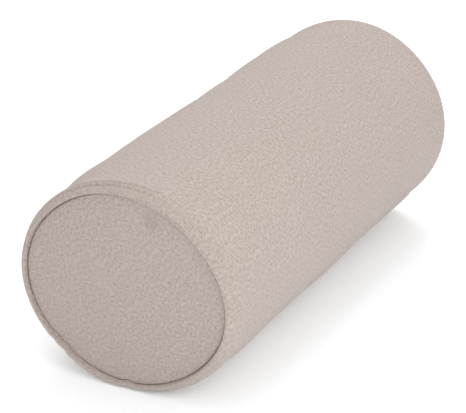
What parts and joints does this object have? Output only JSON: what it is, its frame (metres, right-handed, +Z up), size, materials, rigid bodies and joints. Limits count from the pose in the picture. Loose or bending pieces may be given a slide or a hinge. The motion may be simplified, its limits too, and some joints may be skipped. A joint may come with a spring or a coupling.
{
  "type": "bolster pillow",
  "caption": "Round stuffed bolster pillow in a woven cover with flat sewn-in end panels, a zip along the back and a removable fibre insert.",
  "frame": {"origin": "on the resting plane, under the middle of the roll's bounding box", "axes": "+X along the roll from the near end to the far end, towards the shut end of the zip; +Y to the back, where the zip is; +Z up"},
  "size_m": [0.3926, 0.1747, 0.1636],
  "materials": {
    "cover_cloth": "matte",
    "thread": "matte",
    "zip_tape": "matte",
    "zip_coil": "satin",
    "zip_metal": "satin",
    "label": "satin",
    "liner": "matte",
    "filling": "matte"
  },
  "bodies": {
    "bolster": {"cover_body": "cover_cloth", "cover_end_near": "cover_cloth", "cover_end_far": "cover_cloth", "end_seam_thread_near": "thread", "end_seam_thread_far": "thread", "end_overlock_near": "thread", "end_overlock_far": "thread", "long_seam_thread_near": "thread", "long_seam_thread_far": "thread", "care_label": "label", "zip_tape_upper": "zip_tape", "zip_tape_lower": "zip_tape", "zip_coil_upper": "zip_coil", "zip_coil_lower": "zip_coil", "zip_stitching_upper": "thread", "zip_stitching_lower": "thread", "zip_bartack_near": "thread", "zip_bartack_far": "thread", "zip_stop_top_upper": "zip_metal", "zip_stop_top_lower": "zip_metal", "zip_stop_bottom": "zip_metal", "liner_body": "liner", "liner_end_near": "liner", "liner_end_far": "liner", "liner_seam_thread_near": "thread", "liner_seam_thread_far": "thread", "liner_closing_seam": "thread", "fibre_filling": "filling"},
    "slider": {"zip_slider": "zip_metal"},
    "pull_tab": {"zip_pull_tab": "zip_metal"}
  },
  "joints": [
    {"name": "zip_slide", "type": "slide", "parent": "bolster", "child": "slider", "axis": [-0.9999, 0, -0.016], "range_m": [0, 0.281]},
    {"name": "pull_tab_hinge", "type": "hinge", "parent": "slider", "child": "pull_tab", "pos_m": [0.13997, 0.0862, 0.10179], "axis": [0.0154, 0.276, -0.961], "range_deg": [0, 178]}
  ]
}
